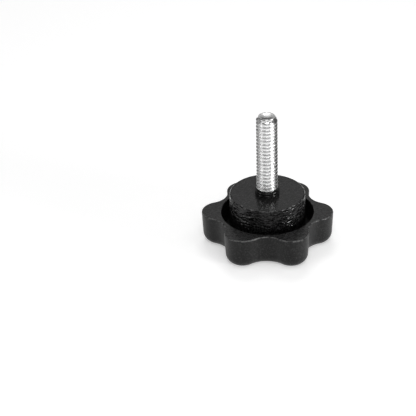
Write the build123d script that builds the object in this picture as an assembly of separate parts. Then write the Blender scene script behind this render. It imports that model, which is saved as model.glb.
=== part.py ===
"""Six-lobed star knob with a moulded-in threaded stud, standing on the flat top of its head, stud up.

Two pieces: the plastic moulding (grip, relief groove, hub and collar in one) and the steel stud,
whose hexagonal head is buried in the hub so that it can neither turn nor pull out.
Millimetres. The origin is the centre of the flat rest face and +Z runs along the stud.
One lobe points along +X, and a valley faces -Y.
"""

from build123d import *
from math import cos, pi, radians, sin, tan
import os

# Grip: the lobed head, measured at its widest, the rim plane
LOBES = 6
HEAD_RADIUS = 24.5
VALLEY_RADIUS = 18.95
LOBE_ARC = 6.75
RIM_HEIGHT = 12.2
SIDE_DRAFT = 3.0
REST_EDGE_ROUND = 3.75
RIM_EDGE_ROUND = 0.5

# Relief groove: the ring of air between the grip's wall and the hub
GROOVE_RADIUS = 17.2
GROOVE_FLOOR = 4.0
GROOVE_DRAFT = 2.0
GROOVE_MOUTH_ROUND = 0.3
GROOVE_FLOOR_ROUND = 0.8

# Hub: stands proud of the rim and carries the stud
HUB_RADIUS = 14.0
HUB_HEIGHT = 20.0
HUB_DRAFT = 1.0
HUB_EDGE_ROUND = 0.5

# Stud: 5/16 inch with 18 threads to the inch. The free length is drawn at the outer diameter of
# its thread, and the buried length at the pitch diameter, since plastic fills the thread there
STUD_RADIUS = 3.9
BURIED_RADIUS = 3.5
STUD_REACH = 32.0
TIP_HEIGHT = HUB_HEIGHT + STUD_REACH
TIP_CHAMFER = 1.1

# Anchor: the stud's hexagonal head, buried in the hub
ANCHOR_ACROSS_FLATS = 12.7
ANCHOR_FOOT = 6.0
ANCHOR_THICKNESS = 5.2
ANCHOR_CORNER_TRIM = 0.5

# Collar: the moulding climbs the stud's first turns as rounded beads, the lowest one straight-footed
COLLAR_BEADS = 2
BEAD_HEIGHT = 1.05
BEAD_RADIUS = 4.55
BEAD_NECK_RADIUS = 4.2
COLLAR_TOP = HUB_HEIGHT + COLLAR_BEADS * BEAD_HEIGHT

STANDING = (Align.CENTER, Align.CENTER, Align.MIN)


def polar(radius, angle):
    return Vector(radius * cos(angle), radius * sin(angle))


def hollow_radius():
    """Radius of a valley's arc, which meets both neighbouring lobe arcs without a corner."""
    lobe_centre = HEAD_RADIUS - LOBE_ARC
    across = 2 * cos(pi / LOBES) * lobe_centre
    gap = LOBE_ARC**2 - lobe_centre**2 - VALLEY_RADIUS**2 + across * VALLEY_RADIUS
    return gap / (2 * VALLEY_RADIUS - across - 2 * LOBE_ARC)


def star_outline():
    """Closed line of tangent arcs: a round lobe and then a hollow valley, once for each lobe."""
    half_step = pi / LOBES
    hollow = hollow_radius()
    arcs = []
    for lobe in range(LOBES):
        axis = 2 * lobe * half_step
        centre = polar(HEAD_RADIUS - LOBE_ARC, axis)
        hollow_before = polar(VALLEY_RADIUS + hollow, axis - half_step)
        hollow_after = polar(VALLEY_RADIUS + hollow, axis + half_step)
        next_centre = polar(HEAD_RADIUS - LOBE_ARC, axis + 2 * half_step)
        start = centre + (hollow_before - centre).normalized() * LOBE_ARC
        end = centre + (hollow_after - centre).normalized() * LOBE_ARC
        next_start = next_centre + (hollow_after - next_centre).normalized() * LOBE_ARC
        arcs.append(ThreePointArc(start, polar(HEAD_RADIUS, axis), end))
        arcs.append(ThreePointArc(end, polar(VALLEY_RADIUS, axis + half_step), next_start))
    return Wire(arcs)


def grip():
    """The star, drawn down from the rim plane so that it narrows to a well rounded rest face."""
    rim_plane = Pos(0, 0, RIM_HEIGHT) * Face(star_outline())
    star = extrude(rim_plane, amount=-RIM_HEIGHT, taper=SIDE_DRAFT)
    star = fillet(star.faces().sort_by(Axis.Z)[0].edges(), REST_EDGE_ROUND)
    return fillet(star.faces().sort_by(Axis.Z)[-1].edges(), RIM_EDGE_ROUND)


def pocket():
    """The round hollow inside the grip's wall, drafted to open towards the rim."""
    depth = RIM_HEIGHT - GROOVE_FLOOR
    floor_radius = GROOVE_RADIUS - depth * tan(radians(GROOVE_DRAFT))
    return Pos(0, 0, GROOVE_FLOOR) * Cone(floor_radius, GROOVE_RADIUS, depth, align=STANDING)


def hub():
    """The round boss that rises from the pocket's floor, drafted, with a softened face edge."""
    height = HUB_HEIGHT - GROOVE_FLOOR
    foot_radius = HUB_RADIUS + height * tan(radians(HUB_DRAFT))
    boss = Pos(0, 0, GROOVE_FLOOR) * Cone(foot_radius, HUB_RADIUS, height, align=STANDING)
    return fillet(boss.faces().sort_by(Axis.Z)[-1].edges(), HUB_EDGE_ROUND)


def collar():
    """A stack of rounded beads round the stud, turned from one scalloped profile."""
    neck_line = Polyline(
        (BEAD_NECK_RADIUS, COLLAR_TOP), (0, COLLAR_TOP), (0, HUB_HEIGHT), (BEAD_RADIUS, HUB_HEIGHT)
    )
    profile = neck_line + Line(neck_line @ 1, (BEAD_RADIUS, HUB_HEIGHT + BEAD_HEIGHT / 2))
    for bead in range(COLLAR_BEADS):
        crest = (BEAD_RADIUS, HUB_HEIGHT + (bead + 0.5) * BEAD_HEIGHT)
        neck_below = (BEAD_NECK_RADIUS, HUB_HEIGHT + bead * BEAD_HEIGHT)
        neck_above = (BEAD_NECK_RADIUS, HUB_HEIGHT + (bead + 1) * BEAD_HEIGHT)
        if bead > 0:
            profile += TangentArc(crest, neck_below, tangent=(0, -1))
        profile += TangentArc(crest, neck_above, tangent=(0, 1))
    return revolve(Plane.XZ * make_face(profile), Axis.Z)


def threaded_stud():
    """Hexagonal anchor with trimmed corners, a buried shank, and a free length with a chamfered tip."""
    across = RegularPolygon(ANCHOR_ACROSS_FLATS / 2, 6, major_radius=False)
    anchor = extrude(Pos(0, 0, ANCHOR_FOOT) * across, ANCHOR_THICKNESS)
    corner_radius = ANCHOR_ACROSS_FLATS / 2 / cos(pi / 6)
    turned = Cylinder(corner_radius, ANCHOR_THICKNESS, align=STANDING)
    turned = chamfer(turned.faces().sort_by(Axis.Z)[0].edges(), ANCHOR_CORNER_TRIM)
    anchor &= Pos(0, 0, ANCHOR_FOOT) * turned
    shank = Pos(0, 0, ANCHOR_FOOT) * Cylinder(BURIED_RADIUS, COLLAR_TOP - ANCHOR_FOOT, align=STANDING)
    free_length = Cylinder(STUD_RADIUS, TIP_HEIGHT - COLLAR_TOP, align=STANDING)
    free_length = chamfer(free_length.faces().sort_by(Axis.Z)[-1].edges(), TIP_CHAMFER)
    return anchor + shank + Pos(0, 0, COLLAR_TOP) * free_length


def circles_at(body, height):
    """Round edges of a body that lie level at one height."""
    reach = 0.01
    return body.edges().filter_by(GeomType.CIRCLE).filter_by_position(
        Axis.Z, height - reach, height + reach
    )


def knob_body(stud):
    """The whole moulding, with the seat that the plastic leaves round the stud."""
    body = grip() - pocket() + hub()
    body = fillet(circles_at(body, GROOVE_FLOOR), GROOVE_FLOOR_ROUND)
    mouth = circles_at(body, RIM_HEIGHT).filter_by(lambda edge: edge.radius < VALLEY_RADIUS)
    body = fillet(mouth, GROOVE_MOUTH_ROUND)
    return body + collar() - stud


def main():
    os.makedirs("parts", exist_ok=True)
    stud = threaded_stud()
    export_step(knob_body(stud), "parts/knob_body.step")
    export_step(stud, "parts/threaded_stud.step")


main()
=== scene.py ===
import math

import bmesh
import bpy
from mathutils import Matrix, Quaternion, Vector


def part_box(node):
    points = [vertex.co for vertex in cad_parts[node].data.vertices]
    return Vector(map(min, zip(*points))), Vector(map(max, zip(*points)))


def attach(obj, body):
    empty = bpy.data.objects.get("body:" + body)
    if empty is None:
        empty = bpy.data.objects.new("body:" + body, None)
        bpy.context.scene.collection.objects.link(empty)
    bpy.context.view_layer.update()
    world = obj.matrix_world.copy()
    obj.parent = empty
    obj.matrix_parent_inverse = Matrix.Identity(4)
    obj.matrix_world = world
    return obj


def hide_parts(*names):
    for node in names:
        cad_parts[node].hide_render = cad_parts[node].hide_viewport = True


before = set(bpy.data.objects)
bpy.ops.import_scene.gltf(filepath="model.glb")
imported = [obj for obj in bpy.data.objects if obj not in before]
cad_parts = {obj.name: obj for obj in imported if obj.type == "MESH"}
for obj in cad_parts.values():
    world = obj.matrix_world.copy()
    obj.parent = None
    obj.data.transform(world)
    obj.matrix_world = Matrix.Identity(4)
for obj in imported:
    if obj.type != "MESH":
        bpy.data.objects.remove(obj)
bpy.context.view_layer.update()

mm = 0.001
closeBy = 0.001 * mm  # two heights nearer than this count as one


class ShaderValue:
    # a node's output: sums and products of these add their Math nodes
    def __init__(self, kit, socket):
        self.kit = kit
        self.socket = socket

    def math(self, operation, first, second):
        return self.kit.node("ShaderNodeMath", {"operation": operation}, {0: first, 1: second})

    def __add__(self, other):
        return self.math("ADD", self, other)

    def __sub__(self, other):
        return self.math("SUBTRACT", self, other)

    def __mul__(self, other):
        return self.math("MULTIPLY", self, other)

    def __rsub__(self, other):
        return self.math("SUBTRACT", other, self)

    __radd__ = __add__
    __rmul__ = __mul__

    def larger(self, other):
        return self.math("MAXIMUM", self, other)

    def ramp(self, low, high):
        # a smooth climb from 0 to 1 as the value goes from low to high
        values = {"Value": self, "From Min": low, "From Max": high}
        return self.kit.node("ShaderNodeMapRange", {"interpolation_type": "SMOOTHSTEP"}, values)


class ShaderKit:
    # one material and the nodes in it
    def __init__(self, name):
        self.material = bpy.data.materials.new(name)
        self.material.use_nodes = True
        self.tree = self.material.node_tree
        self.tree.nodes.clear()

    def node(self, kind, settings, values, output=0):
        made = self.tree.nodes.new(kind)
        for key, value in settings.items():
            setattr(made, key, value)
        for key, value in values.items():
            if isinstance(value, ShaderValue):
                self.tree.links.new(value.socket, made.inputs[key])
            else:
                made.inputs[key].default_value = value
        return ShaderValue(self, made.outputs[output] if made.outputs else None)

    def place(self):
        return self.node("ShaderNodeTexCoord", {}, {}, "Object")

    def scaled(self, place, scale):
        return self.node("ShaderNodeVectorMath", {"operation": "MULTIPLY"}, {0: place, 1: scale})

    def reach(self, place):
        # distance from the stud's axis
        flat = self.scaled(place, (1, 1, 0))
        return self.node("ShaderNodeVectorMath", {"operation": "LENGTH"}, {0: flat}, "Value")

    def height(self, place):
        return self.node("ShaderNodeSeparateXYZ", {}, {0: place}, "Z")

    def noise(self, place, size, detail, roughness):
        # size is the width of a blotch, in metres
        values = {"Vector": place, "Scale": 1 / size, "Detail": detail, "Roughness": roughness}
        return self.node("ShaderNodeTexNoise", {}, values)

    def blend(self, share, low, high):
        # a colour between two others
        values = {"Factor": share, "A": low, "B": high}
        return self.node("ShaderNodeMix", {"data_type": "RGBA"}, values, "Result")

    def bump(self, relief):
        # relief is in metres
        values = {"Height": relief, "Strength": 1.0, "Distance": 1.0}
        return self.node("ShaderNodeBump", {}, values, "Normal")

    def surface(self, values):
        return self.node("ShaderNodeBsdfPrincipled", {}, values)

    def finish(self, surface):
        self.node("ShaderNodeOutputMaterial", {}, {"Surface": surface})
        return self.material


def grey(level):
    return (level, level, level, 1.0)


def addObject(name, data):
    made = bpy.data.objects.new(name, data)
    bpy.context.scene.collection.objects.link(made)
    return made


def meshData(name, mesh):
    data = bpy.data.meshes.new(name)
    mesh.to_mesh(data)
    mesh.free()
    return data


# the black moulding: where its parts are, and how its plastic looks
moulding = {
    "rimHeight": 12.2 * mm,
    "hubRadius": 14.0 * mm,
    "hubFoot": 4.0 * mm,
    "hubTop": 20.0 * mm,
    "collarRadius": 4.55 * mm,
    # each zone starts and is full at these offsets from a size above
    "hubReach": (1.1 * mm, 0.6 * mm),
    "hubRise": (0.0, 1.0 * mm),
    "sideReach": (-1.2 * mm, -0.2 * mm),
    "collarReach": (0.2 * mm, 0.0),
    "collarRise": (0.0, 0.1 * mm),
    "faceRise": (-0.1 * mm, -0.05 * mm),
    "rimGloss": (-0.55 * mm, -0.35 * mm),
    # the edge rounds of the rim and hub, where a highlight is painted into the colour
    "rimHighlightFoot": (-0.42 * mm, -0.3 * mm),
    "rimHighlightTop": (-0.002 * mm, -0.03 * mm),
    "hubHighlightFoot": (-0.35 * mm, -0.2 * mm),
    "hubHighlightTop": (-0.001 * mm, -0.01 * mm),
    # levels of grey, and gloss
    "baseLevel": 0.002,
    "speckLevel": 0.028,
    "mottleLevel": 0.034,
    "edgeHighlightLevel": 0.09,  # painted highlight: the edge rounds are painted paler, in patches
    "hubShare": 0.7,  # of the rim's mottling, on the hub's face
    "specular": 0.25,
    "wallRoughness": 0.42,
    "edgeRoughness": 0.24,
    "faceRoughness": 0.18,
    "sideRoughness": 0.08,
    "collarRoughness": 0.08,
    "grainRoughness": 0.08,  # how far the grain changes it
    # patterns: the size of a blotch, detail, roughness
    "specks": (0.6 * mm, 3.0, 0.7),
    "mottle": (1.1 * mm, 2.0, 0.6),
    "highlightPatches": (1.2 * mm, 2.0, 0.6),
    "grain": (0.35 * mm, 2.0, 0.5),
    "dimples": (0.8 * mm, 1.0, 0.5),
    "pebbles": (2.3 * mm, 1.0, 0.6),
    "pebbleStretch": 0.4,  # height of a pebble to its width
    # the part of each pattern that shows
    "speckRange": (0.45, 0.75),
    "mottleRange": (0.2, 0.8),
    "rimHighlightRange": (0.3, 0.6),
    "hubHighlightRange": (0.4, 0.7),
    # depths of the relief
    "grainDepth": 0.006 * mm,
    "dimpleDepth": 0.03 * mm,
    "pebbleDepth": 0.6 * mm,
}


def zone(value, size, offsets):
    # a mask that starts and is full at two offsets from a size of the moulding
    start, full = moulding[offsets]
    return value.ramp(moulding[size] + start, moulding[size] + full)


def blackPlastic():
    kit = ShaderKit("blackPlastic")
    place = kit.place()
    reach = kit.reach(place)
    height = kit.height(place)

    onHub = zone(reach, "hubRadius", "hubReach") * zone(height, "hubFoot", "hubRise")
    offHub = 1 - onHub
    onSide = zone(reach, "hubRadius", "sideReach") * onHub
    onCollar = zone(reach, "collarRadius", "collarReach") * zone(height, "hubTop", "collarRise")
    onFaces = zone(height, "hubTop", "faceRise") * onHub * moulding["hubShare"]
    onFaces = onFaces + zone(height, "rimHeight", "faceRise") * offHub
    rimGloss = zone(height, "rimHeight", "rimGloss") * offHub

    # painted highlight along the edge rounds of the rim and hub, broken into patches by noise
    highlightPatches = kit.noise(place, *moulding["highlightPatches"])
    rimEdgeHighlight = zone(height, "rimHeight", "rimHighlightFoot") * zone(height, "rimHeight", "rimHighlightTop") * offHub
    hubEdgeHighlight = zone(height, "hubTop", "hubHighlightFoot") * zone(height, "hubTop", "hubHighlightTop") * onHub
    rimEdgeHighlight = rimEdgeHighlight * highlightPatches.ramp(*moulding["rimHighlightRange"])
    hubEdgeHighlight = hubEdgeHighlight * highlightPatches.ramp(*moulding["hubHighlightRange"])

    specks = kit.noise(place, *moulding["specks"]).ramp(*moulding["speckRange"])
    mottle = kit.noise(place, *moulding["mottle"]).ramp(*moulding["mottleRange"])
    level = kit.blend(specks, grey(moulding["baseLevel"]), grey(moulding["speckLevel"]))
    level = kit.blend(mottle * onFaces * (1 - onCollar), level, grey(moulding["mottleLevel"]))
    # the painted edge highlight goes into the colour here
    level = kit.blend(rimEdgeHighlight + hubEdgeHighlight, level, grey(moulding["edgeHighlightLevel"]))

    grain = kit.noise(place, *moulding["grain"])
    roughness = moulding["wallRoughness"] + (grain - 0.5) * moulding["grainRoughness"]
    roughness = roughness + rimGloss * (moulding["edgeRoughness"] - moulding["wallRoughness"])
    roughness = roughness + onHub * (moulding["faceRoughness"] - moulding["wallRoughness"])
    roughness = roughness + onSide * (moulding["sideRoughness"] - moulding["faceRoughness"])
    roughness = roughness + onCollar * (moulding["collarRoughness"] - moulding["faceRoughness"])

    # patterns that fade out are centred on 0, so that fading doesn't tilt the surface
    pebbles = kit.noise(kit.scaled(place, (1, 1, 1 / moulding["pebbleStretch"])), *moulding["pebbles"])
    dimples = kit.noise(place, *moulding["dimples"])
    relief = grain * moulding["grainDepth"] + (pebbles - 0.5) * onSide * moulding["pebbleDepth"]
    relief = relief + (dimples - 0.5) * (1 - onSide) * moulding["dimpleDepth"]
    values = {"Base Color": level, "Roughness": roughness, "Normal": kit.bump(relief)}
    values["Specular IOR Level"] = moulding["specular"]
    return kit.finish(kit.surface(values))


def dressMoulding(node):
    node.data.materials.clear()
    node.data.materials.append(blackPlastic())
    print("moulding dressed in black plastic")


# the steel stud: its plating, its thread and its buried anchor
stud = {
    "crestLevel": 0.9,
    # painted shade: the thread's roots are coloured darker than its crests
    "rootShadeLevel": 0.6,
    "rootShadeEnd": 0.7,  # share of the thread's depth above which the painted shade of the roots is gone
    "roughness": 0.25,
    "spotRoughness": 0.12,
    "spots": (0.5 * mm, 3.0, 0.5),
    "spotDepth": 0.004 * mm,
    "pitch": 25.4 * mm / 18,  # 18 threads to the inch
    "flankAngle": 30,  # from level, in degrees
    "crestRadius": 3.96 * mm,
    "crestFlat": 0.18 * mm,  # both flats are before the corners are rounded
    "rootFlat": 0.24 * mm,
    "crestRound": 0.14 * mm,
    "rootRound": 0.2 * mm,
    "roundSteps": 3,
    "flankShares": (0.1, 0.9),  # points that keep the flank's shading flat
    "stepsPerTurn": 84,  # a multiple of six, so that the anchor's corners are sharp
    "spareTurns": 2,  # made past the shank's end and cut off
    "weldDistance": 0.003 * mm,
    "cutDistance": 0.00001 * mm,  # a vertex nearer than this to a cut is on it
    "creaseAngle": 32,
    "tipInset": 0.9 * mm,  # the chamfer's width, and then its height
    "tipFall": 1.25 * mm,
    "dishDepth": 0.45 * mm,
    "dishRings": ((0.86, 0.0), (0.8, 0.07), (0.66, 0.25), (0.45, 0.52)),  # shares of radius and depth
    "buriedRadius": 3.48 * mm,
    "buriedTurn": 0.4 * mm,  # of the threaded wall, below the collar's top
    "anchorFoot": 6.0 * mm,
    "anchorTop": 11.2 * mm,
    "anchorAcross": 12.7 * mm,
}


def platedSteel(rootRadius, crestRadius):
    kit = ShaderKit("platedSteel")
    place = kit.place()
    spots = kit.noise(place, *stud["spots"])
    # painted shade: the colour darkens from the crests down into the thread's roots
    rootShadeRadius = rootRadius + stud["rootShadeEnd"] * (crestRadius - rootRadius)
    outOfRootShade = kit.reach(place).ramp(rootRadius, rootShadeRadius)
    level = kit.blend(outOfRootShade, grey(stud["rootShadeLevel"]), grey(stud["crestLevel"]))
    roughness = stud["roughness"] + (spots - 0.5) * stud["spotRoughness"]
    values = {"Base Color": level, "Roughness": roughness, "Normal": kit.bump(spots * stud["spotDepth"])}
    values["Metallic"] = 1.0
    return kit.finish(kit.surface(values))


def threadProfile():
    # one pitch of the thread's outline as (radius, height): from a crest over a root to the next crest
    pitch, crestRadius = stud["pitch"], stud["crestRadius"]
    crestRound, rootRound, steps = stud["crestRound"], stud["rootRound"], stud["roundSteps"]
    lean = math.radians(stud["flankAngle"])
    crestCorner = stud["crestFlat"] / 2
    rootCorner = pitch / 2 - stud["rootFlat"] / 2
    rootRadius = crestRadius - (rootCorner - crestCorner) / math.tan(lean)
    turn = math.pi / 2 - lean
    crestStart = crestCorner - crestRound * math.tan(turn / 2)
    rootEnd = rootCorner + rootRound * math.tan(turn / 2)
    crest = [(crestRadius, 0)]
    root = []
    for angle in [turn * step / steps for step in range(steps + 1)]:
        fall, run = 1 - math.cos(angle), math.sin(angle)
        crest.append((crestRadius - crestRound * fall, crestStart + crestRound * run))
        root.insert(0, (rootRadius + rootRound * fall, rootEnd - rootRound * run))
    flank = []
    for share in stud["flankShares"]:
        flank.append(tuple(a + share * (b - a) for a, b in zip(crest[-1], root[0])))
    half = crest + flank + root
    return half + [(radius, pitch - height) for radius, height in reversed(half)]


def everything(mesh):
    return mesh.verts[:] + mesh.edges[:] + mesh.faces[:]


def openRim(mesh, height):
    return [edge for edge in mesh.edges if edge.is_boundary and abs(edge.verts[0].co.z - height) < closeBy]


def cutLevel(mesh, height, keepAbove):
    # cut the mesh level at a height and return the new rim
    bmesh.ops.bisect_plane(
        mesh,
        geom=everything(mesh),
        dist=stud["cutDistance"],
        plane_co=(0, 0, height),
        plane_no=(0, 0, 1),
        clear_outer=not keepAbove,
        clear_inner=keepAbove,
    )
    return openRim(mesh, height)


def helixWall(foot, top):
    # one turn is spun as a screw, and copies of it are stacked from foot to top
    mesh = bmesh.new()
    pitch = stud["pitch"]
    points = [mesh.verts.new((radius, 0, height)) for radius, height in threadProfile()]
    line = [mesh.edges.new(pair) for pair in zip(points, points[1:])]
    bmesh.ops.spin(
        mesh,
        geom=points + line,
        axis=(0, 0, 1),
        dvec=(0, 0, pitch / stud["stepsPerTurn"]),
        angle=2 * math.pi,
        steps=stud["stepsPerTurn"],
        use_merge=False,
    )
    turn = everything(mesh)
    bmesh.ops.translate(mesh, verts=mesh.verts, vec=(0, 0, foot - stud["spareTurns"] * pitch))
    for count in range(1, math.ceil((top - foot) / pitch) + stud["spareTurns"] + 1):
        copied = bmesh.ops.duplicate(mesh, geom=turn)["geom"]
        moved = [item for item in copied if isinstance(item, bmesh.types.BMVert)]
        bmesh.ops.translate(mesh, verts=moved, vec=(0, 0, count * pitch))
    bmesh.ops.remove_doubles(mesh, verts=mesh.verts, dist=stud["weldDistance"])
    return mesh


def turnDown(mesh, collarTop, tip):
    # a cone at the tip, and a plain shank where the plastic holds it
    bmesh.ops.bisect_plane(mesh, geom=everything(mesh), plane_co=(0, 0, collarTop), plane_no=(0, 0, 1))
    tipRadius = stud["crestRadius"] - stud["tipInset"]
    for vert in mesh.verts:
        radius = vert.co.xy.length
        wanted = min(radius, tipRadius + (tip - vert.co.z) * stud["tipInset"] / stud["tipFall"])
        if vert.co.z < collarTop + closeBy:
            wanted = stud["buriedRadius"]
        vert.co.xy *= wanted / radius


def drawOn(mesh, rim, place):
    # extrude a rim of edges, with each new vertex where place puts it
    drawn = bmesh.ops.extrude_edge_only(mesh, edges=rim)["geom"]
    for item in drawn:
        if isinstance(item, bmesh.types.BMVert):
            item.co = place(item.co)
    return [item for item in drawn if isinstance(item, bmesh.types.BMEdge)]


def closeRim(mesh, rim, height):
    # draw a rim in to a point on the axis
    drawn = drawOn(mesh, rim, Vector)
    verts = list({vert for edge in drawn for vert in edge.verts})
    bmesh.ops.pointmerge(mesh, verts=verts, merge_co=(0, 0, height))


def outTo(place, reach, height):
    # the point in the same direction from the axis, at another reach and height
    flat = place.xy.normalized() * reach
    return Vector((flat.x, flat.y, height))


def capTip(mesh, rim, tip):
    # rings drawn in from the chamfer: a flat land and then a shallow dish
    endRadius = rim[0].verts[0].co.xy.length
    for share, sink in stud["dishRings"]:
        rim = drawOn(mesh, rim, lambda co: outTo(co, endRadius * share, tip - sink * stud["dishDepth"]))
    closeRim(mesh, rim, tip - stud["dishDepth"])


def hexagonReach(place, across):
    # from the axis to the side of a hexagon that has a corner on +X
    fromFlat = math.atan2(place.y, place.x) % (math.pi / 3) - math.pi / 6
    return across / 2 / math.cos(fromFlat)


def addAnchor(mesh, rim):
    # the shank goes down to a hexagonal head, which closes below
    top, foot, across = stud["anchorTop"], stud["anchorFoot"], stud["anchorAcross"]
    rim = drawOn(mesh, rim, lambda co: Vector((co.x, co.y, top)))
    rim = drawOn(mesh, rim, lambda co: outTo(co, hexagonReach(co, across), top))
    rim = drawOn(mesh, rim, lambda co: Vector((co.x, co.y, foot)))
    closeRim(mesh, rim, foot)


def threadedStud(tip, collarTop):
    shankEnd = collarTop - stud["buriedTurn"]
    mesh = helixWall(shankEnd, tip)
    cutLevel(mesh, tip, False)
    turnDown(mesh, collarTop, tip)
    footRim = cutLevel(mesh, shankEnd, True)
    capTip(mesh, openRim(mesh, tip), tip)
    addAnchor(mesh, footRim)
    bmesh.ops.recalc_face_normals(mesh, faces=mesh.faces)
    data = meshData("studThread", mesh)
    data.polygons.foreach_set("use_smooth", [True] * len(data.polygons))
    data.set_sharp_from_angle(angle=math.radians(stud["creaseAngle"]))
    rootRadius = min(radius for radius, height in threadProfile())
    data.materials.append(platedSteel(rootRadius, stud["crestRadius"]))
    piece = addObject("studThread", data)
    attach(piece, "root")
    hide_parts("threaded_stud")
    print("stud threaded:", len(data.polygons), "faces")


# floor, light and camera
studio = {
    "floorLevel": 0.9,
    "floorRoughness": 0.9,
    "floorGlow": 0.4,  # what the floor adds where it is seen, never to the light on the object
    "floorSize": 6.0,
    "worldLevel": 0.06,
    "lampAim": 0.015,  # height of the point that the lamps face
}
lamps = [
    # name, azimuth, elevation, distance, width, height, strength in watts
    ("rightLow", 334, 5, 0.6, 0.2, 0.08, 2.7),
    ("leftLow", 201, 6, 0.6, 0.22, 0.2, 0.7),
    ("rightHigh", 353, 66, 0.6, 0.35, 0.35, 0.5),
    ("leftHigh", 187, 66, 0.6, 0.3, 0.35, 0.32),
    ("front", 273, 45, 0.6, 0.3, 0.35, 1.0),
    ("back", 93, 34, 0.6, 0.4, 0.25, 0.165),
    ("tipLamp", 93, 58, 0.6, 0.25, 0.2, 0.7),
    ("top", 273, 88, 0.6, 0.3, 0.3, 0.1),
    ("leftSide", 140, 32, 0.6, 0.35, 0.35, 0.12),
]
shot = {
    "turn": 3.219,  # degrees round from the front, then up, then round the line of sight
    "tilt": 30.612,
    "roll": 1.485,
    "distance": 0.740,
    "lens": 170.71,
    "sensorWidth": 36,
    "clipStart": 0.01,
    "clipEnd": 20,
    "aimRight": -0.02207,
    "aimUp": 0.01206,
}


def placeCamera():
    data = bpy.data.cameras.new("camera")
    data.lens = shot["lens"]
    data.sensor_width = shot["sensorWidth"]
    data.clip_start = shot["clipStart"]
    data.clip_end = shot["clipEnd"]
    turn, tilt = math.radians(shot["turn"]), math.radians(shot["tilt"])
    back = Vector((math.sin(turn) * math.cos(tilt), -math.cos(turn) * math.cos(tilt), math.sin(tilt)))
    right = Vector((math.cos(turn), math.sin(turn), 0))
    aim = right * shot["aimRight"] + back.cross(right) * shot["aimUp"]
    camera = addObject("camera", data)
    camera.location = aim + back * shot["distance"]
    camera.rotation_mode = "QUATERNION"
    level = back.to_track_quat("Z", "Y")
    camera.rotation_quaternion = level @ Quaternion((0, 0, 1), -math.radians(shot["roll"]))
    bpy.context.scene.camera = camera
    print("camera placed")


def layFloor():
    mesh = bmesh.new()
    bmesh.ops.create_grid(mesh, x_segments=1, y_segments=1, size=studio["floorSize"] / 2)
    data = meshData("floor", mesh)
    floor = addObject("floor", data)
    kit = ShaderKit("floorPaper")
    values = {"Base Color": grey(studio["floorLevel"]), "Roughness": studio["floorRoughness"]}
    values["Specular IOR Level"] = 0.0
    paper = kit.surface(values)
    glow = kit.node("ShaderNodeEmission", {}, {"Color": grey(1.0), "Strength": studio["floorGlow"]})
    seen = kit.node("ShaderNodeLightPath", {}, {}, "Is Camera Ray")
    for ray in ("Is Glossy Ray", "Is Transmission Ray"):
        seen = seen.larger(kit.node("ShaderNodeLightPath", {}, {}, ray))
    bright = kit.node("ShaderNodeAddShader", {}, {0: paper, 1: glow})
    surface = kit.node("ShaderNodeMixShader", {}, {0: seen, 1: paper, 2: bright})
    data.materials.append(kit.finish(surface))
    print("floor laid")


def lightWorld():
    world = bpy.data.worlds.new("studioAir")
    world.use_nodes = True
    background = world.node_tree.nodes["Background"]
    background.inputs["Color"].default_value = grey(1.0)
    background.inputs["Strength"].default_value = studio["worldLevel"]
    bpy.context.scene.world = world


def towards(azimuth, elevation):
    turn, rise = math.radians(azimuth), math.radians(elevation)
    return Vector((math.cos(turn) * math.cos(rise), math.sin(turn) * math.cos(rise), math.sin(rise)))


def hangLamps():
    for name, azimuth, elevation, distance, width, height, power in lamps:
        light = bpy.data.lights.new(name, "AREA")
        light.shape = "RECTANGLE"
        light.size = width
        light.size_y = height
        light.energy = power
        direction = towards(azimuth, elevation)
        lamp = addObject(name, light)
        lamp.location = direction * distance + Vector((0, 0, studio["lampAim"]))
        lamp.rotation_mode = "QUATERNION"
        lamp.rotation_quaternion = direction.to_track_quat("Z", "Y")
    print("lamps hung:", len(lamps))


placeCamera()
layFloor()
lightWorld()
hangLamps()
dressMoulding(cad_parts["knob_body"])
threadedStud(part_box("threaded_stud")[1].z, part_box("knob_body")[1].z)

bpy.context.scene.view_settings.view_transform = "Standard"
